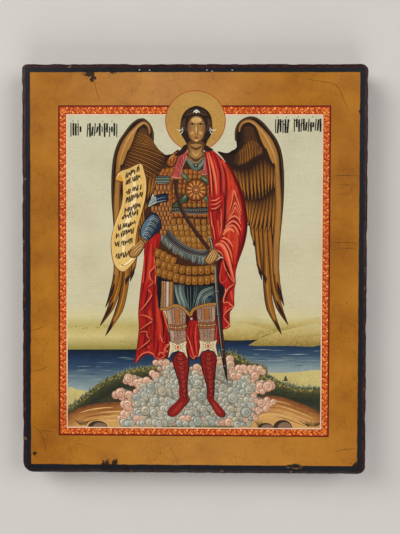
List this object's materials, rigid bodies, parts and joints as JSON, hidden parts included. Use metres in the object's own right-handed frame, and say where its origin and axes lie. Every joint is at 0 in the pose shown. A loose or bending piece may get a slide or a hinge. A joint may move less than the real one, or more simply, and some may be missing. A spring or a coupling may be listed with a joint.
{
  "type": "icon panel",
  "caption": "Painted wooden icon panel: a thick rectangular board with worn rounded edges, a painted face and dovetail battens across its back.",
  "frame": {"origin": "midway between the sides and between the upper and lower edges, on the plane that the battens rest on", "axes": "+X to the right across the painted face, +Y up the picture, +Z out of the painted face"},
  "size_m": [0.261, 0.31, 0.0275],
  "materials": {
    "painted_board": "varnished egg tempera on gesso over old wood",
    "batten_wood": "bare old wood, dull"
  },
  "bodies": {
    "root": {"board": "painted_board", "upper_batten": "batten_wood", "lower_batten": "batten_wood"}
  },
  "joints": []
}
